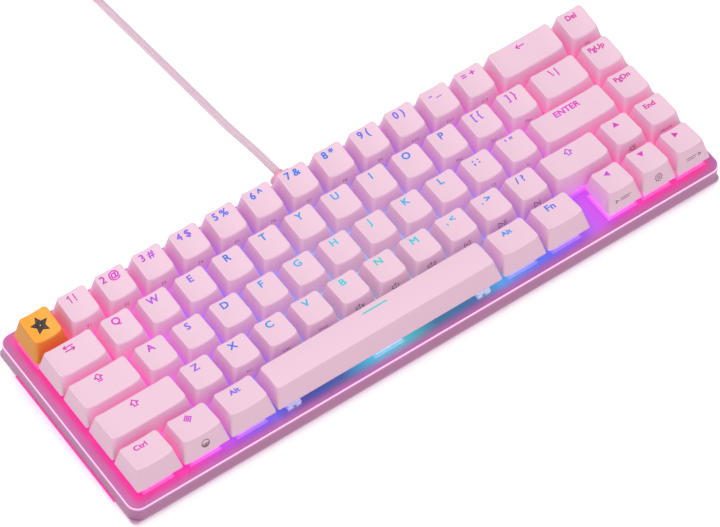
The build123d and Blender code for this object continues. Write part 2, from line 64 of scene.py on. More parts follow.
# a long lens, in front of the left end and well above
camera = {
    "azimuth": -34.34,
    "elevation": 51.219,
    "roll": -1.98,
    "distance": 1.7896,
    "lens": 207.07,
    "sensor": 36,
    "target": (-0.0067, -0.0049, 0.02),
    "clipEnd": 20,
}


def makeCamera():
    azimuth = radians(camera["azimuth"])
    elevation = radians(camera["elevation"])
    roll = radians(camera["roll"])
    back = Vector((sin(azimuth) * cos(elevation), -cos(azimuth) * cos(elevation), sin(elevation)))
    right = Vector((cos(azimuth), sin(azimuth), 0))
    up = back.cross(right)
    turnedRight = right * cos(roll) + up * sin(roll)
    turnedUp = up * cos(roll) - right * sin(roll)
    data = bpy.data.cameras.new("studioCamera")
    data.lens = camera["lens"]
    data.sensor_width = camera["sensor"]
    data.clip_end = camera["clipEnd"]
    item = bpy.data.objects.new("studioCamera", data)
    place = Matrix((turnedRight, turnedUp, back)).transposed().to_4x4()
    place.translation = Vector(camera["target"]) + back * camera["distance"]
    item.matrix_world = place
    bpy.context.scene.collection.objects.link(item)
    bpy.context.scene.camera = item


studio = {
    "sky": (1.0, 1.0, 1.0),
    "skyPower": 0.62,
    "aim": (0, 0, 0.02),
    "lamps": {
        "keyLight": {"spot": (-0.25, -0.1, 1.4), "size": 1.1, "power": 9.4},
        "fillLight": {"spot": (0.9, -0.9, 1.1), "size": 1.0, "power": 0.8},
    },
}


def makeLights():
    world = bpy.data.worlds.new("studio")
    bpy.context.scene.world = world
    bpy.context.scene.view_settings.view_transform = "Standard"
    world.use_nodes = True
    sky = world.node_tree.nodes["Background"]
    sky.inputs["Color"].default_value = (*studio["sky"], 1)
    sky.inputs["Strength"].default_value = studio["skyPower"]
    for name, lamp in studio["lamps"].items():
        data = bpy.data.lights.new(name, "AREA")
        data.energy = lamp["power"]
        data.size = lamp["size"]
        item = bpy.data.objects.new(name, data)
        item.location = lamp["spot"]
        away = Vector(lamp["spot"]) - Vector(studio["aim"])
        item.rotation_euler = away.to_track_quat("Z", "Y").to_euler()
        bpy.context.scene.collection.objects.link(item)


class Wire:
    # one socket, so that shader sums read like sums
    def __init__(self, shader, socket):
        self.shader = shader
        self.socket = socket

    def combine(self, kind, first, second, clamp=False):
        settings = {"operation": kind, "use_clamp": clamp}
        return self.shader.node("ShaderNodeMath", settings, {0: first, 1: second})

    def __add__(self, other):
        return self.combine("ADD", self, other)

    def __sub__(self, other):
        return self.combine("SUBTRACT", self, other)

    def __mul__(self, other):
        return self.combine("MULTIPLY", self, other)

    def __truediv__(self, other):
        return self.combine("DIVIDE", self, other)

    def __pow__(self, other):
        return self.combine("POWER", self, other)

    def __radd__(self, other):
        return self.combine("ADD", other, self)

    def __rsub__(self, other):
        return self.combine("SUBTRACT", other, self)

    def __rmul__(self, other):
        return self.combine("MULTIPLY", other, self)

    def absolute(self):
        return self.shader.node("ShaderNodeMath", {"operation": "ABSOLUTE"}, {0: self})

    def clamped(self):
        return self.combine("ADD", self, 0.0, True)


class Shader:
    longNames = {
        "colour": "Base Color", "glow": "Emission Color", "glowPower": "Emission Strength",
        "coat": "Coat Weight", "sheen": "Sheen Weight",
    }

    def __init__(self, name):
        self.material = bpy.data.materials.new(name)
        self.material.use_nodes = True
        self.tree = self.material.node_tree
        self.main = self.tree.nodes["Principled BSDF"]

    def node(self, kind, settings=None, sockets=None, out=0):
        made = self.tree.nodes.new(kind)
        for key, value in (settings or {}).items():
            if key == "stops":
                ramp = made.color_ramp
                while len(ramp.elements) < len(value):
                    ramp.elements.new(0.5)
                for element, (place, colour) in zip(ramp.elements, value):
                    element.position = place
                    element.color = (*colour, 1)
            else:
                setattr(made, key, value)
        for key, value in (sockets or {}).items():
            self.feed(made.inputs[key], value)
        return Wire(self, made.outputs[out])

    def feed(self, socket, value):
        if isinstance(value, Wire):
            self.tree.links.new(value.socket, socket)
        elif isinstance(value, (tuple, list)) and len(value) == 3 and socket.type == "RGBA":
            socket.default_value = (*value, 1)
        else:
            socket.default_value = value

    def set(self, **values):
        for key, value in values.items():
            name = self.longNames.get(key, key.capitalize())
            self.feed(self.main.inputs[name], value)
        return self

    def place(self):
        return self.node("ShaderNodeTexCoord", out=3)        # the piece's own coordinates

    def world(self):
        return self.node("ShaderNodeNewGeometry")

    def facing(self):
        return self.split(self.node("ShaderNodeNewGeometry", out=1), 2)        # how far a face looks up

    def noise(self, where, scale, detail=3.0, rough=0.55):
        sockets = {"Vector": where, "Scale": scale, "Detail": detail, "Roughness": rough}
        return self.node("ShaderNodeTexNoise", {}, sockets)

    def split(self, where, axis):
        return self.node("ShaderNodeSeparateXYZ", {}, {0: where}, axis)

    def mix(self, share, first, second):
        sockets = {0: share, 6: first, 7: second}        # the colour sockets
        return self.node("ShaderNodeMix", {"data_type": "RGBA"}, sockets, 2)

    def scale(self, colour, by):
        black = (0.0, 0.0, 0.0)
        return self.mix(by, black, colour)

    def bump(self, height, distance, strength=1.0):
        sockets = {"Strength": strength, "Distance": distance, "Height": height}
        return self.set(Normal=self.node("ShaderNodeBump", {}, sockets))


# the glow under the keys: a ring of hues about a point between the two lowest rows
glow = {
    "centre": (-5.7, -29.0),
    "reach": 8.0,
    "hues": [
        (0.0, srgb(35, 225, 190)), (0.19, srgb(40, 205, 230)), (0.34, srgb(50, 160, 245)),
        (0.46, srgb(70, 115, 250)), (0.58, srgb(135, 90, 250)), (0.68, srgb(205, 75, 235)),
        (0.80, srgb(255, 45, 175)), (1.0, srgb(255, 36, 150)),
    ],
    "legends": [
        (0.0, srgb(30, 222, 190)), (0.20, srgb(35, 212, 236)), (0.34, srgb(50, 168, 245)),
        (0.45, srgb(44, 126, 242)), (0.55, srgb(110, 112, 245)), (0.66, srgb(186, 92, 238)),
        (0.76, srgb(228, 58, 212)), (1.0, srgb(226, 48, 172)),
    ],
    "space": -21.4,
}


def within(value, edge, fade):
    # one inside the edge in mm, fading to nothing across the last few
    return ((edge * mm - value.absolute()) / (fade * mm)).clamped()


def glowHue(shader, hues="hues"):
    where = shader.world()
    across = (shader.split(where, 0) - glow["centre"][0] * mm) / (deck["pitch"] * mm)
    along = (shader.split(where, 1) - glow["centre"][1] * mm) / (deck["pitch"] * mm)
    far = (across * across + along * along) ** 0.5
    return shader.node("ShaderNodeValToRGB", {"stops": glow[hues]}, {0: far / glow["reach"]})


capLook = {
    "grain": 1400,
    "cloud": 60,
    "topFacing": 0.86,        # how level a face is where the top's painted lighter colour starts
    "topEdge": 14.0,
    "field": (149.8, 46.6),        # half the key field, where another key stands beside each side and the lamps' light is painted on it
    "fieldShift": 0.9,
    "fieldFade": 1.0,
    # how much painted lamp light the sides among other keys take, more at their feet, with the lamps' hue in
    # it
    "near": 0.6,
    "low": 0.42,
    "hueInLow": 0.14,
    "mottle": 0.06,
    # how fast the painted lamp glow fades up the sides
    "leakFall": 1.7,
}


def keycapShader(name, top, side, near, low, glowPower):
    # satin moulded plastic, with painted light: tops painted lighter than the outer sides where faces look
    # up, and the sides where another key stands beside them painted with the tint and glow of the lamps below
    look = capLook
    shader = Shader(name)
    where = shader.place()
    height = shader.split(where, 2) / (10 * mm)
    grain = shader.noise(where, look["grain"], 2.0)
    cloud = shader.noise(where, look["cloud"], 2.0)
    # painted light: faces that look up take the lighter top colour, the others the shaded side colours
    isTop = ((shader.facing() - look["topFacing"]) * look["topEdge"]).clamped()
    lowness = (1.12 - height * 0.95).clamped()
    spot = shader.world()
    across = within(shader.split(spot, 0), look["field"][0], look["fieldFade"])
    along = within(shader.split(spot, 1) - look["fieldShift"] * mm, look["field"][1], look["fieldFade"])
    among = across * along * (1.0 - isTop)
    hue = glowHue(shader)
    # painted lamp light: the lamps' hue on the sides among other keys, stronger towards the feet
    tint = shader.mix(look["hueInLow"], low, hue)
    body = shader.mix(among * look["near"], side, near)
    body = shader.mix(lowness * among * look["low"], body, tint)
    colour = shader.mix(isTop, body, top)
    worn = tuple(channel * 0.86 for channel in top)
    colour = shader.mix(cloud * look["mottle"], colour, worn)
    # a painted glow of the lamps on the lower sides among other keys
    paintedLampGlow = (lowness ** look["leakFall"]) * among
    shader.set(colour=colour, roughness=0.42 + grain * 0.14, glow=shader.scale(hue, paintedLampGlow))
    shader.set(glowPower=glowPower)
    shader.bump(grain, 0.00003)
    return shader.material


def legendShader():
    shader = Shader("lit legend")
    hue = glowHue(shader, "legends")
    soft = shader.noise(shader.place(), 900, 1.0)
    shader.set(colour=shader.scale(hue, 0.16 + soft * 0.06), roughness=0.5 + soft * 0.15)
    shader.set(glow=shader.scale(hue, 0.9 + soft * 0.1), glowPower=0.78)
    return shader.material


def printShader(name, first, second):
    shader = Shader(name)
    soft = shader.noise(shader.place(), 1200, 2.0)
    shader.set(colour=shader.mix(soft, first, second), roughness=0.55)
    return shader.material


plateLook = {
    "first": srgb(204, 122, 180),
    "second": srgb(186, 102, 164),
    # the painted highlight on the cut edge: its pale colour and its glow
    "edge": (1.0, 0.70, 0.92),
    "edgeHighlightGlow": srgb(130, 70, 112),
    "lit": (154.2, 50.9),        # half the lit field in mm, and the fades at its sides and ends
    "litShift": 0.2,
    "fade": (3.6, 4.0),
    "dark": srgb(18, 30, 120),
    "darkShare": 0.72,
    "glowPower": 0.85,
}


def plateShader():
    # blasted and anodised, with the lamps' light painted on it as a glow between the keys, and a painted
    # highlight, pale and glowing, on the cut edge
    look = plateLook
    shader = Shader("anodised plate")
    where = shader.world()
    grain = shader.noise(where, 2600, 3.0)
    cloud = shader.noise(where, 42, 2.0)
    colour = shader.mix(cloud, look["first"], look["second"])
    facing = shader.facing()
    # the cut edge, where the highlight is painted
    highlightEdge = ((0.93 - facing) * 20.0).clamped() * ((facing - 0.3) * 10.0).clamped()
    lit = within(shader.split(where, 0), look["lit"][0], look["fade"][0])
    lit = lit * within(shader.split(where, 1) - look["litShift"] * mm, look["lit"][1], look["fade"][1])
    lit = lit * (0.72 + cloud * 0.5).clamped()
    # only one lamp stands under the long space key, so its ends are in the dark
    aside = (shader.split(where, 0) - glow["space"] * mm).absolute()
    dark = ((aside - 7 * mm) / (18 * mm)).clamped() * ((60 * mm - aside) / (12 * mm)).clamped()
    dark = dark * ((shader.split(where, 1) + 30 * mm) / (-10 * mm)).clamped()
    # where the lamps' glow is painted, the plate's own colour is darkened under it
    body = shader.mix(lit, colour, shader.scale(colour, 0.35))
    colour = shader.mix(highlightEdge, body, look["edge"])
    shader.set(colour=colour, metallic=0.35, roughness=0.36 + grain * 0.16)
    lamps = shader.mix(dark * look["darkShare"], glowHue(shader), look["dark"])
    glowing = shader.mix(highlightEdge, shader.scale(lamps, lit), look["edgeHighlightGlow"])
    shader.set(glow=glowing, glowPower=look["glowPower"])
    shader.bump(grain, 0.00004)
    return shader.material


def mouldedShader(name, first, second, rough=0.45, scale=900, depth=0.00004, coat=0.0, metallic=0.0):
    shader = Shader(name)
    where = shader.place()
    grain = shader.noise(where, scale, 3.0)
    cloud = shader.noise(where, scale / 25, 2.0)
    shader.set(colour=shader.mix(cloud, first, second), roughness=rough + (grain - 0.5) * 0.16)
    shader.set(coat=coat, metallic=metallic)
    shader.bump(grain, depth)
    return shader.material


def litShader(name, tint, power, share):
    # a clear or milky part with a lamp's light in it
    shader = Shader(name)
    grain = shader.noise(shader.place(), 700, 2.0)
    hue = shader.mix(share, glowHue(shader), tint)
    shader.set(colour=shader.mix(0.5 + grain * 0.2, hue, tint), roughness=0.18 + grain * 0.15)
    shader.set(glow=shader.scale(hue, 0.6 + grain * 0.4), glowPower=power)
    return shader.material


def brushedShader(name, first, second, rough=0.3):
    shader = Shader(name)
    where = shader.place()
    stretched = shader.node("ShaderNodeMapping", {}, {0: where, 3: (1.0, 14.0, 14.0)})
    hair = shader.noise(stretched, 500, 3.0)
    shader.set(colour=shader.mix(hair, first, second), metallic=0.95, roughness=rough + (hair - 0.5) * 0.2)
    shader.bump(hair, 0.00002)
    return shader.material


def boardShader():
    shader = Shader("solder mask")
    where = shader.world()
    grain = shader.noise(where, 300, 2.0)
    sockets = {"Vector": where, "Scale": 240}
    cells = shader.node("ShaderNodeTexVoronoi", {"feature": "DISTANCE_TO_EDGE"}, sockets)
    track = ((0.08 - cells) * 20.0).clamped()
    colour = shader.mix(track, srgb(18, 52, 40), srgb(30, 84, 62))
    shader.set(colour=colour, roughness=0.3 + grain * 0.2, coat=0.3)
    shader.bump(track, 0.00004)
    return shader.material


def foamShader():
    shader = Shader("damping foam")
    pores = shader.node("ShaderNodeTexVoronoi", {}, {"Vector": shader.world(), "Scale": 900})
    shader.set(colour=shader.mix(pores, srgb(34, 34, 36), srgb(60, 60, 63)), roughness=0.9)
    shader.bump(pores, 0.0003)
    return shader.material


braid = {
    "lay": 5.2,        # mm for one turn of a strand
    "strands": 8,
    "light": srgb(252, 226, 238),
    "dark": srgb(222, 172, 198),
}


def braidShader():
    # two sets of strands that cross over and under round the cord
    shader = Shader("woven sleeve")
    measure = shader.node("ShaderNodeTexCoord", out=2)        # metres along, and turns round
    turns = shader.split(measure, 0) * (1000 / braid["lay"])
    around = shader.split(measure, 1)
    sines = []
    for way in (1.0, -1.0):
        angle = (turns * way + around) * (pi * braid["strands"])
        sines.append(shader.node("ShaderNodeMath", {"operation": "SINE"}, {0: angle}))
    weave = sines[0] * sines[1] * 0.5 + 0.5
    fuzz = shader.noise(shader.place(), 2500, 3.0)
    colour = shader.mix((weave * 0.8 + fuzz * 0.3).clamped(), braid["dark"], braid["light"])
    shader.set(colour=colour, roughness=0.75 + fuzz * 0.15, sheen=0.4)
    shader.bump(weave + fuzz * 0.3, 0.00035)
    return shader.material


def strapShader():
    shader = Shader("hook and loop strap")
    loops = shader.node("ShaderNodeTexVoronoi", {}, {"Vector": shader.place(), "Scale": 1100})
    shader.set(colour=shader.mix(loops, srgb(214, 140, 176), srgb(190, 112, 150)), roughness=0.85, sheen=0.5)
    shader.bump(loops, 0.0002)
    return shader.material


floorLook = {"first": (0.97, 0.97, 0.97), "second": (0.95, 0.95, 0.95), "glowPower": 0.32, "size": 4.0}


def floorShader():
    shader = Shader("pale table")
    cloud = shader.noise(shader.world(), 3, 2.0)
    shader.set(colour=shader.mix(cloud, floorLook["first"], floorLook["second"]), roughness=0.6)
    shader.set(glow=(1.0, 1.0, 1.0), glowPower=floorLook["glowPower"])
    return shader.material


# each keycap colour: its top painted lit, its outer sides painted in shade, the sides among other keys and
# their feet painted with lamp light
capColours = {
    "pink": (srgb(240, 202, 221), srgb(222, 182, 202), srgb(249, 204, 232), srgb(248, 158, 208)),
    "orange": (srgb(252, 170, 44), srgb(214, 138, 44), srgb(246, 120, 34), srgb(242, 100, 26)),
}


def makeMaterials():
    return {
        "cap": keycapShader("pink keycap", *capColours["pink"], 0.10),
        "escape": keycapShader("orange keycap", *capColours["orange"], 0.03),
        "legend": legendShader(),
        "print": printShader("printed side sign", srgb(96, 70, 82), srgb(76, 56, 66)),
        "faint": printShader("faint side words", srgb(178, 112, 148), srgb(160, 98, 134)),
        "stem": litShader("milky stem", srgb(240, 225, 240), 0.25, 0.6),
        "emblem": mouldedShader("dark emblem", srgb(46, 40, 42), srgb(60, 52, 54), 0.5),
        "anodised_pink": plateShader(),
        "case_pink": mouldedShader(
            "case band", srgb(164, 94, 142), srgb(152, 85, 131), 0.42, 1600, 0.00003, 0.05),
        "case_lip": mouldedShader("case tray", srgb(210, 172, 199), srgb(196, 158, 185), 0.5, 1100),
        "light_diffuser": litShader("side diffuser", srgb(255, 40, 150), 0.9, 0.9),
        "pcb": boardShader(),
        "chips": mouldedShader("chip resin", srgb(30, 30, 32), srgb(44, 44, 46), 0.5, 1500),
        "foam": foamShader(),
        "switch_body": litShader("milky housing", srgb(215, 150, 205), 0.75, 0.2),
        "switch_clear": litShader("clear housing", srgb(240, 190, 245), 0.95, 0.16),
        "spring_steel": brushedShader("drawn spring", srgb(190, 190, 194), srgb(150, 150, 155)),
        "contact_copper": brushedShader("stamped copper", srgb(214, 150, 92), srgb(184, 118, 66)),
        "socket_black": mouldedShader("socket resin", srgb(28, 28, 30), srgb(44, 44, 46), 0.5, 1200),
        "led": litShader("lamp", srgb(255, 240, 255), 1.6, 0.3),
        "stabilizer_plastic": litShader("pale stabilizer", srgb(245, 235, 245), 0.35, 0.5),
        "usb_metal": brushedShader("plated shell", srgb(205, 205, 210), srgb(170, 170, 176), 0.25),
        "screw_steel": brushedShader("black screw", srgb(70, 70, 74), srgb(48, 48, 52), 0.4),
        "rubber": mouldedShader("rubber pad", srgb(40, 40, 42), srgb(54, 54, 57), 0.85, 700, 0.0001),
        "braid_pink": braidShader(),
        "plug_pink": mouldedShader("moulded grip", srgb(238, 170, 198), srgb(226, 150, 182), 0.55, 1500),
        "tie": strapShader(),
        "wire_steel": brushedShader("drawn wire", srgb(200, 200, 205), srgb(165, 165, 170)),
        "floor": floorShader(),
    }


keyForm = {
    "gap": 6.4, "capGap": 0.45, "footRadius": 1.0, "topInset": 2.6, "topRadius": 2.0, "scoop": 1.0,
    "scoopReach": 6.9, "rim": 0.6, "wall": 1.3, "ceiling": 2.4, "spaceFront": 9.3, "spaceCrown": 0.7,
    # front height and inset, back height and inset, for each row from the back
    "profiles": [
        (9.85, 3.95, 11.65, 1.3), (8.6, 4.1, 9.2, 1.0), (8.65, 4.2, 8.1, 0.75), (10.55, 3.8, 9.4, 1.2),
        (10.5, 4.4, 8.4, 0.6),
    ],
}


class Cap:
    # one keycap's surfaces as formulas, in mm from the middle of its cell and the bottom of its skirt
    def __init__(self, row, units, isSpace=False):
        form = keyForm
        frontZ, frontIn, backZ, backIn = form["profiles"][row]
        half = deck["pitch"] / 2
        self.isSpace = isSpace
        self.y0, self.z0 = frontIn - half, frontZ
        self.y1, self.z1 = half - backIn, backZ
        self.slope = atan2(backZ - frontZ, self.y1 - self.y0)
        self.length = hypot(self.y1 - self.y0, backZ - frontZ)
        self.footWide = units * deck["pitch"] - 2 * form["capGap"]
        self.footDeep = deck["pitch"] - 2 * form["capGap"]
        self.topWide = units * deck["pitch"] - 2 * form["topInset"]
        self.level = max(0.0, self.topWide / 2 - form["scoopReach"])
        self.round = (form["scoopReach"] ** 2 + form["scoop"] ** 2) / (2 * form["scoop"])

    def dip(self, x):
        if self.isSpace:
            return 0.0
        beyond = min(max(0.0, abs(x) - self.level), keyForm["scoopReach"])
        return -keyForm["scoop"] + self.round - sqrt(self.round**2 - beyond**2)

    def onPlane(self, x, v, lift=0.0):
        y = (self.y0 + self.y1) / 2 + v * cos(self.slope) - lift * sin(self.slope)
        z = (self.z0 + self.z1) / 2 + v * sin(self.slope) + lift * cos(self.slope)
        if self.isSpace and lift > -0.5:
            share = (y - self.y0) / (self.y1 - self.y0)
            low = keyForm["spaceFront"] + (self.z1 - keyForm["spaceFront"]) * share
            z = low + 4 * keyForm["spaceCrown"] * share * (1 - share) + lift
        return Vector((x, y, z))

    def top(self, x, v, lift=0.0):
        return self.onPlane(x, v, self.dip(x) + lift)


def outline(width, depth, radius, across, along):
    # a rounded rectangle, anticlockwise, with the same number of points whatever its size
    cx, cy = width / 2 - radius, depth / 2 - radius
    points = []
    for corner, (sx, sy) in enumerate(((1, 1), (-1, 1), (-1, -1), (1, -1))):
        for step in range(7):
            angle = (corner + step / 6) * pi / 2
            points.append((sx * cx + radius * cos(angle), sy * cy + radius * sin(angle)))
        x, y = points[-1]
        count = across if corner % 2 == 0 else along
        for step in range(1, count):
            share = 1 - 2 * step / count
            points.append((sx * cx * share, y) if corner % 2 == 0 else (x, sy * cy * share))
    return points


def addRing(bm, points):
    return [bm.verts.new(point * mm) for point in points]


def joinRings(bm, low, high, slot=0, smooth=True):
    count = len(low)
    for i in range(count):
        j = (i + 1) % count
        face = bm.faces.new((low[i], low[j], high[j], high[i]))
        face.material_index, face.smooth = slot, smooth


def addBlock(bm, low, high, slot, soften=0.15):
    centre = [(a + b) / 2 for a, b in zip(low, high)]
    size = [b - a for a, b in zip(low, high)]
    made = bmesh.ops.create_cube(bm, size=1.0)["verts"]
    for vert in made:
        vert.co = Vector([(c + v * s) * mm for c, v, s in zip(centre, vert.co, size)])
    faces = {face for vert in made for face in vert.link_faces}
    edges = list({edge for face in faces for edge in face.edges})
    for face in faces:
        face.material_index = slot
    bmesh.ops.bevel(bm, geom=edges, offset=soften * mm, segments=2, affect="EDGES")


def addPost(bm, x, radius, low, high, slot):
    place = Matrix.Translation((x * mm, 0, (low + high) / 2 * mm))
    sizes = {"radius1": radius * mm, "radius2": radius * mm, "depth": (high - low) * mm}
    made = bmesh.ops.create_cone(bm, cap_ends=True, segments=28, matrix=place, **sizes)
    for face in {face for vert in made["verts"] for face in vert.link_faces}:
        face.material_index, face.smooth = slot, len(face.verts) == 4


def pulledIn(x, core, share):
    # moves a point towards the straight middle of a cap
    near = min(abs(x), core) + max(0.0, abs(x) - core) * share
    return near if x > 0 else -near


def capShell(bm, cap):
    form = keyForm
    rim = form["rim"]
    across, along = max(8, int(cap.topWide / 1.3)), 8
    foot = outline(cap.footWide, cap.footDeep, form["footRadius"], across, along)
    edge = outline(cap.topWide, cap.length, form["topRadius"], across, along)
    inTop = outline(cap.topWide - 2 * rim, cap.length - 2 * rim, form["topRadius"] - rim, across, along)
    feet = [Vector((x, y, 0)) for x, y in foot]
    corners = []
    for low, (x, v) in zip(feet, edge):
        plain = cap.onPlane(x, v)
        corners.append(plain.lerp(low, -cap.dip(x) / plain.z))
    sides = []
    for corner, low in zip(corners, feet):
        fall = low - corner
        sides.append(corner + fall * (rim / fall.length))
    tops = [cap.top(x, v) for x, v in inTop]
    rings = [addRing(bm, feet)]
    for share in (0.02, 0.5):
        rings.append(addRing(bm, [low.lerp(side, share) for low, side in zip(feet, sides)]))
    for step in range(7):
        t = step / 6
        bend = []
        for side, corner, top in zip(sides, corners, tops):
            bend.append(side * (1 - t) ** 2 + corner * 2 * t * (1 - t) + top * t * t)
        rings.append(addRing(bm, bend))
    core = max(0.0, cap.topWide / 2 - cap.length / 2)
    for share in (0.85, 0.66, 0.46, 0.28, 0.12, 0.0):
        rings.append(addRing(bm, [cap.top(pulledIn(x, core, share), v * share) for x, v in inTop]))
    wall = form["wall"]
    inner = outline(cap.footWide - 2 * wall, cap.footDeep - 2 * wall, 0.5, across, along)
    roof = outline(cap.topWide - 2 * wall, cap.length - 2 * wall, 1.0, across, along)
    under = [addRing(bm, [Vector((x, y, 0)) for x, y in inner])]
    for share in (1.0, 0.5, 0.0):
        spots = [cap.onPlane(pulledIn(x, core, share), v * share, -form["ceiling"]) for x, v in roof]
        under.append(addRing(bm, spots))
    joinRings(bm, rings[0], under[0], smooth=False)
    for group in (rings, under):
        for low, high in zip(group, group[1:]):
            joinRings(bm, low, high)
    bmesh.ops.remove_doubles(bm, verts=bm.verts, dist=0.002 * mm)
    bmesh.ops.recalc_face_normals(bm, faces=bm.faces)


legendForm = {
    "across": -0.55, "up": 0.25, "letter": 4.9, "word": 3.7, "title": 4.3, "wide": 1.06, "line": 0.56,
    "smallLine": 0.42, "barLine": 1.4, "bar": (1.0, 0.27), "weight": (0.13, 0.10), "cut": 0.6, "proud": 0.03,
    "sideSize": 2.4, "sideWide": 1.05, "sideHeight": 0.46, "sideSign": 1.25,
}


def ringOf(count, wide, narrow=None, turn=0.0):
    # points round a circle, or in and out between two circles, closed
    radii = (wide, wide if narrow is None else narrow)
    angles = [turn + 2 * pi * i / count for i in range(count + 1)]
    return [(radii[i % 2] * sin(angle), radii[i % 2] * cos(angle)) for i, angle in enumerate(angles)]


horn = [(-1.6, 0.5), (-0.9, 0.5), (0, 1.3), (0, -1.3), (-0.9, -0.5), (-1.6, -0.5), (-1.6, 0.5)]
moonShade = [[(-x, -y), (x, -y)] for x, y in ((1.4, 0.1), (1.3, 0.5), (1.0, 0.9), (0.5, 1.2))]
sunRays = [[(1.2 * x, 1.2 * y), (1.7 * x, 1.7 * y)] for x, y in ringOf(8, 1.0)]

# drawn signs: strokes as lists of points, closed when the first point comes again
signs = {
    "tabArrows": [
        [(-2.2, 0.9), (2.2, 0.9)], [(-1.2, 1.7), (-2.2, 0.9), (-1.2, 0.1)],
        [(-2.2, -0.9), (2.2, -0.9)], [(1.2, -0.1), (2.2, -0.9), (1.2, -1.7)],
    ],
    "leftArrow": [[(2.1, 0), (-2.0, 0)], [(-0.9, 1.0), (-2.0, 0), (-0.9, -1.0)]],
    "shiftArrow": [[(0, 1.9), (1.8, 0), (0.8, 0), (0.8, -1.5), (-0.8, -1.5), (-0.8, 0), (-1.8, 0), (0, 1.9)]],
    "capsArrow": [
        [(0, 2.0), (1.8, 0.3), (0.8, 0.3), (0.8, -0.7), (-0.8, -0.7), (-0.8, 0.3), (-1.8, 0.3), (0, 2.0)],
        [(-0.9, -1.6), (0.9, -1.6)],
    ],
    "diamond": [ringOf(4, 1.8), ringOf(4, 0.7)],
    "star": [ringOf(10, 3.9, 1.9), ringOf(10, 3.3, 1.6), ringOf(10, 2.0, 0.9), ringOf(10, 1.4, 0.6)],
    "bar": [[(-6.0, 0), (6.0, 0)]],
    "one": [
        [(-2.1, 0.9), (-1.2, 1.65), (-1.2, -1.65)],
        [(1.2, 1.65), (1.2, -0.6)], [(1.2, -1.3), (1.2, -1.65)],
    ],
    "halfMoon": [ringOf(16, 1.5)] + moonShade,
    "sun": [ringOf(12, 0.8)] + sunRays,
    "gear": [ringOf(16, 1.6, 1.2), ringOf(10, 0.5)],
    "arrowLight": [
        [(-2.6, 0), (-3.6, 0.6), (-3.6, -0.6), (-2.6, 0)],
        [(-1.6, 0.4), (2.8, 0.4)], [(-1.6, -0.4), (2.0, -0.4)],
    ],
    "arrowMode": [
        [(3.6, 0), (2.6, 0.6), (2.6, -0.6), (3.6, 0)],
        [(-2.6, 0.4), (1.8, 0.4)], [(-2.6, -0.4), (1.0, -0.4)],
    ],
    "mute": [horn, [(0.7, 0.6), (1.8, -0.6)], [(0.7, -0.6), (1.8, 0.6)]],
    "quiet": [horn, [(0.8, 0.8), (1.2, 0), (0.8, -0.8)]],
    "loud": [horn, [(0.7, 0.7), (1.1, 0), (0.7, -0.7)], [(1.4, 1.1), (1.9, 0), (1.4, -1.1)]],
    "back": [[(1.3, 1.1), (-0.5, 0), (1.3, -1.1), (1.3, 1.1)], [(-1.1, 1.1), (-1.1, -1.1)]],
    "play": [
        [(-1.6, 1.1), (0.2, 0), (-1.6, -1.1), (-1.6, 1.1)],
        [(0.8, 1.1), (0.8, -1.1)], [(1.5, 1.1), (1.5, -1.1)],
    ],
    "next": [[(-1.3, 1.1), (0.5, 0), (-1.3, -1.1), (-1.3, 1.1)], [(1.1, 1.1), (1.1, -1.1)]],
}
filled = {
    "up": [(-1.7, -1.1), (1.7, -1.1), (0, 1.7)], "down": [(1.7, 1.2), (-1.7, 1.2), (0, -1.6)],
    "left": [(1.2, 1.7), (-1.6, 0), (1.2, -1.7)], "right": [(-1.2, -1.7), (1.6, 0), (-1.2, 1.7)],
}


def textMesh(words, size, wide):
    curve = bpy.data.curves.new("words", "FONT")
    curve.body = words
    curve.size = size
    curve.align_x = "CENTER"
    curve.align_y = "CENTER"
    curve.resolution_u = 3
    item = bpy.data.objects.new("words", curve)
    mesh = bpy.data.meshes.new_from_object(item)
    bm = bmesh.new()
    bm.from_mesh(mesh)
    for vert in bm.verts:
        vert.co.x *= wide
    bpy.data.objects.remove(item)
    bpy.data.meshes.remove(mesh)
    bpy.data.curves.remove(curve)
    return bm


def signMesh(name, small=False):
    bm = bmesh.new()
    if name in filled:
        bm.faces.new([bm.verts.new((x, y, 0)) for x, y in filled[name]])
        return bm
    half = legendForm["line"] / 2
    if small:
        half *= legendForm["smallLine"]
    elif name == "bar":
        half *= legendForm["barLine"]
    for stroke in signs[name]:
        for (x0, y0), (x1, y1) in zip(stroke, stroke[1:]):
            long = hypot(x1 - x0, y1 - y0)
            ux, uy = (x1 - x0) / long * half, (y1 - y0) / long * half
            start, end = (x0 - ux, y0 - uy), (x1 + ux, y1 + uy)
            corners = []
            for (x, y), side in ((start, 1), (start, -1), (end, -1), (end, 1)):
                corners.append(bm.verts.new((x - uy * side, y + ux * side, 0)))
            bm.faces.new(corners)
    return bm


def layLegend(target, flat, place, slot):
    # cuts a flat sign into narrow strips and lays it on a cap's surface
    xs = [vert.co.x for vert in flat.verts]
    if not xs:
        return
    x = min(xs) + legendForm["cut"]
    while x < max(xs):
        geometry = flat.verts[:] + flat.edges[:] + flat.faces[:]
        bmesh.ops.bisect_plane(flat, geom=geometry, plane_co=(x, 0, 0), plane_no=(1, 0, 0), dist=0.0001)
        x += legendForm["cut"]
    made = {}
    for face in flat.faces:
        corners = []
        for vert in face.verts:
            key = (round(vert.co.x, 4), round(vert.co.y, 4))
            if key not in made:
                made[key] = target.verts.new(place(vert.co.x, vert.co.y) * mm)
            if made[key] not in corners:
                corners.append(made[key])
        if len(corners) > 2 and not target.faces.get(corners):
            new = target.faces.new(corners)
            new.material_index, new.smooth = slot, True
    flat.free()


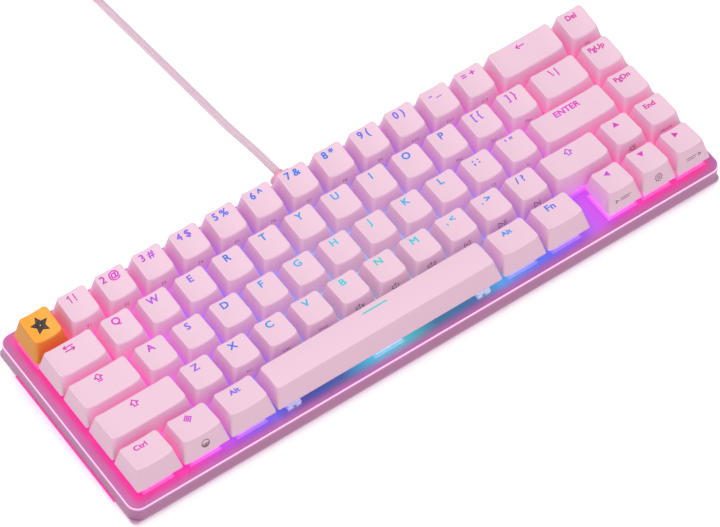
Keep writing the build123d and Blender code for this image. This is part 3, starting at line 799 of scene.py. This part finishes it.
def keyLegends(bm, cap, legend, side, darkTop):
    form = legendForm
    lift = form["proud"]
    up = cap.length * form["up"]

    def onTop(x, y):
        return cap.top(x + form["across"], y + up, lift)

    def onMiddle(x, y):
        return cap.top(x, y, lift)

    def onSpace(x, y):
        return cap.top(x + form["bar"][0], y + cap.length * form["bar"][1], lift)

    def onFront(x, y):
        foot = Vector((x, -cap.footDeep / 2, 0))
        rim = cap.onPlane(x, -cap.length / 2)
        grow = form["sideSign"] if side in signs else 1.0
        foot.x = x * grow
        rim.x = x * grow
        share = form["sideHeight"] + y * grow / (rim - foot).length
        lean = atan2(rim.y - foot.y, rim.z)
        return foot.lerp(rim, share) + Vector((0, -cos(lean), sin(lean))) * lift

    if legend in signs or legend in filled:
        place = {"star": onMiddle, "bar": onSpace}.get(legend, onTop)
        layLegend(bm, signMesh(legend), place, 3 if darkTop else 1)
    elif legend:
        size = form["letter"]
        if len(legend.replace(" ", "")) > 2:
            size = form["title"] if legend.isupper() else form["word"]
        # drawn four times, a hair apart, for the weight of the strokes
        for step, (wayX, wayY) in enumerate(((-1, -1), (1, -1), (1, 1), (-1, 1))):

            def place(x, y):
                x, y = x + wayX * form["weight"][0], y + wayY * form["weight"][1]
                return cap.top(x + form["across"], y + up, lift + 0.003 * step)

            layLegend(bm, textMesh(legend, size, form["wide"]), place, 1)
    if side:
        isSign = side in signs
        flat = signMesh(side, True) if isSign else textMesh(side, form["sideSize"], form["sideWide"])
        layLegend(bm, flat, onFront, 2 if isSign else 5)


def letters(row, words, prints):
    marks = prints.split("|") if prints else []
    return [(row, 1, word, marks[i] if i < len(marks) else "") for i, word in enumerate(words)]


numbers = "one,2 @,3 #,4 $,5 %,6 ^,7 &,8 *,9 (,0 ),- _,= +".split(",")
smallNumbers = "|".join(f"F{number}" for number in range(1, 13))
media = "|PC|Calc|Web|mute|quiet|loud|back|play|next"

# each row from the back: body, width in units, sign on top, small sign on the front
keyRows = [
    [("key_escape", 1, "star", "")]
    + letters("keys_number_row", numbers, smallNumbers)
    + [("key_backspace", 2, "leftArrow", ""), ("key_delete", 1, "Del", "Ins")],
    [("key_tab", 1.5, "tabArrows", "")]
    + letters("keys_top_letter_row", list("QWERTYUIOP") + ["[ {", "] }"], "||||||||| Prt| Scr| Pau")
    + [("key_backslash", 1.5, "\\ |", ""), ("key_page_up", 1, "PgUp", "")],
    [("key_caps_lock", 1.75, "capsArrow", "")]
    + letters("keys_home_row", list("ASDFGHJKL") + ["; :", "' \""], "||||||||| Ly| Li")
    + [("key_enter", 2.25, "ENTER", ""), ("key_page_down", 1, "PgDn", "")],
    [("key_shift_left", 2.25, "shiftArrow", "")]
    + letters("keys_bottom_letter_row", list("ZXCVBNM") + [", <", ". >", "/ ?"], media)
    + [("key_shift_right", 1.75, "shiftArrow", "")]
    + [("key_arrow_up", 1, "up", "sun"), ("key_end", 1, "End", "Home")],
    [("key_control", 1.25, "Ctrl", ""), ("key_super", 1.25, "diamond", "halfMoon")]
    + [("key_alt_left", 1.25, "Alt", ""), ("key_space", 6.25, "bar", "")]
    + [("key_alt_right", 1.25, "Alt", ""), ("key_function", 1.25, "Fn", ""), (None, 0.5, "", "")]
    + [("key_arrow_left", 1, "left", "arrowLight"), ("key_arrow_down", 1, "down", "gear")]
    + [("key_arrow_right", 1, "right", "arrowMode")],
]
# how far a long key's stabilizers stand from its middle
longKeys = {"key_backspace": 11.938, "key_enter": 11.938, "key_shift_left": 11.938, "key_space": 50.0}


sliderForm = {
    "wide": 7.0, "deep": 6.0, "corner": 0.3, "bore": 4.9, "boreCorner": 2.3, "low": -5.9, "roof": -1.0,
    "high": 0.3,
}
# inside a keycap, a round post that takes the slider's blade, and the same on a stabilizer's stem
postForm = {
    "radius": 2.8, "low": 0.5, "roof": 2.6, "blade": (2.0, 0.6), "bladeLow": 0.25, "bladeHigh": 3.9,
    "stem": (1.9, 2.8), "stemLow": -7.0,
}


def addSlider(bm, slot):
    # the moving part of a switch: a box open below, with room in it for the spring
    form = sliderForm
    outer = outline(form["wide"], form["deep"], form["corner"], 1, 1)
    bore = outline(form["bore"], form["bore"], form["boreCorner"], 1, 1)
    levels = ((bore, "roof"), (bore, "low"), (outer, "low"), (outer, "high"))
    rings = [addRing(bm, [Vector((x, y, form[height])) for x, y in ring]) for ring, height in levels]
    for low, high in zip(rings, rings[1:]):
        joinRings(bm, low, high, slot, False)
    for ends in (list(reversed(rings[0])), rings[-1]):
        bm.faces.new(ends).material_index = slot


def addStems(bm, cap, reach):
    form = postForm
    wide, deep = form["stem"]
    bladeWide, bladeDeep = form["blade"]
    roof = (cap.z0 + cap.z1) / 2 - form["roof"]
    for x in (0.0, -reach, reach) if reach else (0.0,):
        addPost(bm, x, form["radius"], form["low"], roof, 0)
        if x:
            addBlock(bm, (x - wide, -deep, form["stemLow"]), (x + wide, deep, sliderForm["high"]), 4)
        else:
            addSlider(bm, 4)
        low = (x - bladeWide, -bladeDeep, form["bladeLow"])
        addBlock(bm, low, (x + bladeWide, bladeDeep, form["bladeHigh"]), 4, 0.05)


def makeKey(name, body, row, units, x, y, legend, side, materials):
    isEscape = body == "key_escape"
    cap = Cap(row, units, body == "key_space")
    bm = bmesh.new()
    capShell(bm, cap)
    addStems(bm, cap, longKeys.get(body))
    keyLegends(bm, cap, legend, side, isEscape)
    mesh = bpy.data.meshes.new(name)
    bm.to_mesh(mesh)
    bm.free()
    for kind in ("escape" if isEscape else "cap", "legend", "print", "emblem", "stem", "faint"):
        mesh.materials.append(materials[kind])
    item = bpy.data.objects.new(name, mesh)
    bpy.context.scene.collection.objects.link(item)
    item.matrix_world = deckMatrix @ Matrix.Translation((x * mm, y * mm, keyForm["gap"] * mm))
    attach(item, body)
    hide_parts(body)


springForm = {
    "radius": 1.9, "wire": 0.2, "low": -3.55, "high": 5.15, "turns": 10, "pointsPerTurn": 14, "sides": 6,
    "travel": 4.0,
}


def coilSpring(bm, x, y):
    # one switch's spring, closely wound at its two ends
    form = springForm
    count = form["turns"] * form["pointsPerTurn"]
    rings = []
    for step in range(count + 1):
        share = step / count
        angle = 2 * pi * form["turns"] * share
        height = form["low"] + (form["high"] - form["low"]) * (share - 0.075 * sin(2 * pi * share))
        out = Vector((cos(angle), sin(angle), 0))
        middle = Vector((x, y, height)) + out * form["radius"]
        ring = []
        for side in range(form["sides"]):
            around = side * 2 * pi / form["sides"]
            spot = middle + (out * cos(around) + Vector((0, 0, 1)) * sin(around)) * form["wire"]
            ring.append(bm.verts.new(spot * mm))
        rings.append(ring)
    for low, high in zip(rings, rings[1:]):
        joinRings(bm, low, high)
    bm.faces.new(list(reversed(rings[0])))
    bm.faces.new(rings[-1])


def makeSprings(spots, materials):
    # the springs under the keys of one body, made as one piece that stands on the case
    for body, places in spots.items():
        name = body.split("_", 1)[1]
        bm = bmesh.new()
        for x, y in places:
            coilSpring(bm, x, y)
        mesh = bpy.data.meshes.new("springs_" + name)
        bm.to_mesh(mesh)
        bm.free()
        mesh.materials.append(materials["spring_steel"])
        item = bpy.data.objects.new("springs_" + name, mesh)
        bpy.context.scene.collection.objects.link(item)
        item.matrix_world = deckMatrix
        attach(item, "case")
        "press_" + name
        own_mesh(item)
        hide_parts("switch_springs")


def makeKeys(materials):
    pitch = deck["pitch"]
    spots = {}
    for row, line in enumerate(keyRows):
        edge = -deck["units"] * pitch / 2
        for column, (body, units, legend, side) in enumerate(line):
            if body:
                x, y = edge + units * pitch / 2, (2 - row) * pitch
                makeKey(f"keycap_{row}_{column:02d}", body, row, units, x, y, legend, side, materials)
                spots.setdefault(body, []).append((x, y))
            edge += units * pitch
    makeSprings(spots, materials)


cordForm = {
    "diameter": 3.6, "length": 1.81, "coilRadius": 20.5, "step": 3.7, "layers": 4, "lift": 0.7,
    "coilX": 19.5, "coilY": 231.0, "pointsPerTurn": 16, "ease": 6, "slack": 1.013, "sides": 16, "ring": 1.0,
    "lead": [
        (-5.2, 58.82, 19.18), (-5.4, 73.0, 18.7), (-4.4, 89.0, 14.0), (-2.2, 105.0, 7.0), (-0.2, 122.0, 1.9),
        (-3.9, 207.0, 1.85),
    ],
    # from the top of the coil: x and y from the coil's middle, and height
    "tail": [(12, 24.2, 13.1), (25, 24.9, 9.0), (38, 25.1, 4.8), (49, 24.4, 4.0), (59, 23.2, 4.0)],
    "pieces": ["usb_a_plug_grip", "usb_a_plug_shell", "cable_tie", "usb_c_plug_grip", "usb_c_plug_shell"],
}


def ease(value):
    value = min(1.0, max(0.0, value))
    return value * value * (3 - 2 * value)


def coilPoints():
    form = cordForm
    count, step, layers = form["pointsPerTurn"], form["step"], form["layers"]
    bottom = form["lift"] + form["diameter"] / 2

    def ringRadius(turn):
        # inwards in one layer, outwards in the next
        turn = min(max(turn, 0), 3 * layers - 1)
        place = turn % 3
        if (turn // 3) % 2:
            place = 2 - place
        return form["coilRadius"] + step - place * step

    points = []
    for k in range(3 * layers * count + count // 4 + 1):
        turns = k / count
        whole = int(turns)
        before, here = ringRadius(whole - 1), ringRadius(whole)
        radius = before + (here - before) * ease((turns - whole) * form["ease"])
        climbs = [ease((turns - 3 * layer) * form["ease"] + 0.5) for layer in range(1, layers)]
        angle = pi - 2 * pi * turns
        wide = radius * form["slack"]
        spot = (form["coilX"] + wide * cos(angle), form["coilY"] + wide * sin(angle))
        points.append((*spot, bottom + step * sum(climbs)))
    return points


def makeCord(materials):
    form = cordForm
    tail = [(form["coilX"] + x, form["coilY"] + y, z) for x, y, z in form["tail"]]
    route = form["lead"] + coilPoints() + tail
    curve = bpy.data.curves.new("cordLine", "CURVE")
    curve.dimensions = "3D"
    spline = curve.splines.new("NURBS")
    spline.points.add(len(route) - 1)
    for point, (x, y, z) in zip(spline.points, route):
        point.co = (x * mm, y * mm, z * mm, 1)
    spline.order_u = 3
    spline.use_endpoint_u = True
    spline.resolution_u = 8
    line = bpy.data.objects.new("cordLine", curve)
    thread = bpy.data.meshes.new_from_object(line)
    path = [vert.co.copy() for vert in thread.vertices]
    bpy.data.objects.remove(line)
    bpy.data.meshes.remove(thread)
    spots, along = evenSpots(path, form["ring"] * mm)
    print("cord length in metres:", round(along[-1], 4))
    mesh = tubeMesh(spots, along, form)
    mesh.materials.append(materials["braid_pink"])
    cord = bpy.data.objects.new("braided_cord", mesh)
    bpy.context.scene.collection.objects.link(cord)
    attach(cord, "case")
    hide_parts("cable", "cable_coil")


def evenSpots(path, gapWanted):
    # the line again, with points an even distance apart, and the distance to each
    spots = [path[0]]
    along = [0.0]
    travelled = 0.0
    wanted = gapWanted
    for a, b in zip(path, path[1:]):
        gap = (b - a).length
        while travelled + gap >= wanted:
            spots.append(a.lerp(b, (wanted - travelled) / gap))
            along.append(wanted)
            wanted += gapWanted
        travelled += gap
    spots.append(path[-1])
    along.append(travelled)
    return spots, along


def tubeMesh(spots, along, form):
    # a tube round the line, with its own measure along and round it for the weave
    sides = form["sides"]
    radius = form["diameter"] / 2 * mm
    bm = bmesh.new()
    uv = bm.loops.layers.uv.new("weave")
    rings = []
    normal = Vector((0, 0, 1))
    for i, spot in enumerate(spots):
        way = (spots[min(i + 1, len(spots) - 1)] - spots[max(i - 1, 0)]).normalized()
        normal = (normal - way * normal.dot(way)).normalized()
        across = way.cross(normal)
        ring = []
        for k in range(sides):
            angle = 2 * pi * k / sides
            ring.append(bm.verts.new(spot + (normal * cos(angle) + across * sin(angle)) * radius))
        rings.append(ring)
    for i, (low, high) in enumerate(zip(rings, rings[1:])):
        for k in range(sides):
            j = (k + 1) % sides
            face = bm.faces.new((low[k], low[j], high[j], high[k]))
            face.smooth = True
            for loop, (u, v) in zip(face.loops, ((i, k), (i, k + 1), (i + 1, k + 1), (i + 1, k))):
                loop[uv].uv = (along[u], v / sides)
    bm.faces.new(list(reversed(rings[0])))
    bm.faces.new(rings[-1])
    mesh = bpy.data.meshes.new("braided_cord")
    bm.to_mesh(mesh)
    bm.free()
    return mesh


def dressNodes(materials):
    slots = {part["node"]: part["material_slot"] for part in frame["record"]["subparts"]}
    for name, item in frame["nodes"].items():
        material = materials.get(slots[name])
        if material is None or item.hide_render:
            continue
        if not item.material_slots:
            item.data.materials.append(material)
        for place in item.material_slots:
            place.link = "OBJECT"
            place.material = material


def makeFloor(materials):
    bm = bmesh.new()
    bmesh.ops.create_grid(bm, x_segments=8, y_segments=8, size=floorLook["size"])
    mesh = bpy.data.meshes.new("studio_floor")
    bm.to_mesh(mesh)
    bm.free()
    mesh.materials.append(materials["floor"])
    item = bpy.data.objects.new("studio_floor", mesh)
    bpy.context.scene.collection.objects.link(item)


makeCamera()
makeLights()
print("camera and lights made")
materials = makeMaterials()
print("materials made:", len(materials))
makeCord(materials)
print("cord made")
makeKeys(materials)
print("keys made")
dressNodes(materials)
makeFloor(materials)
bpy.context.view_layer.update()
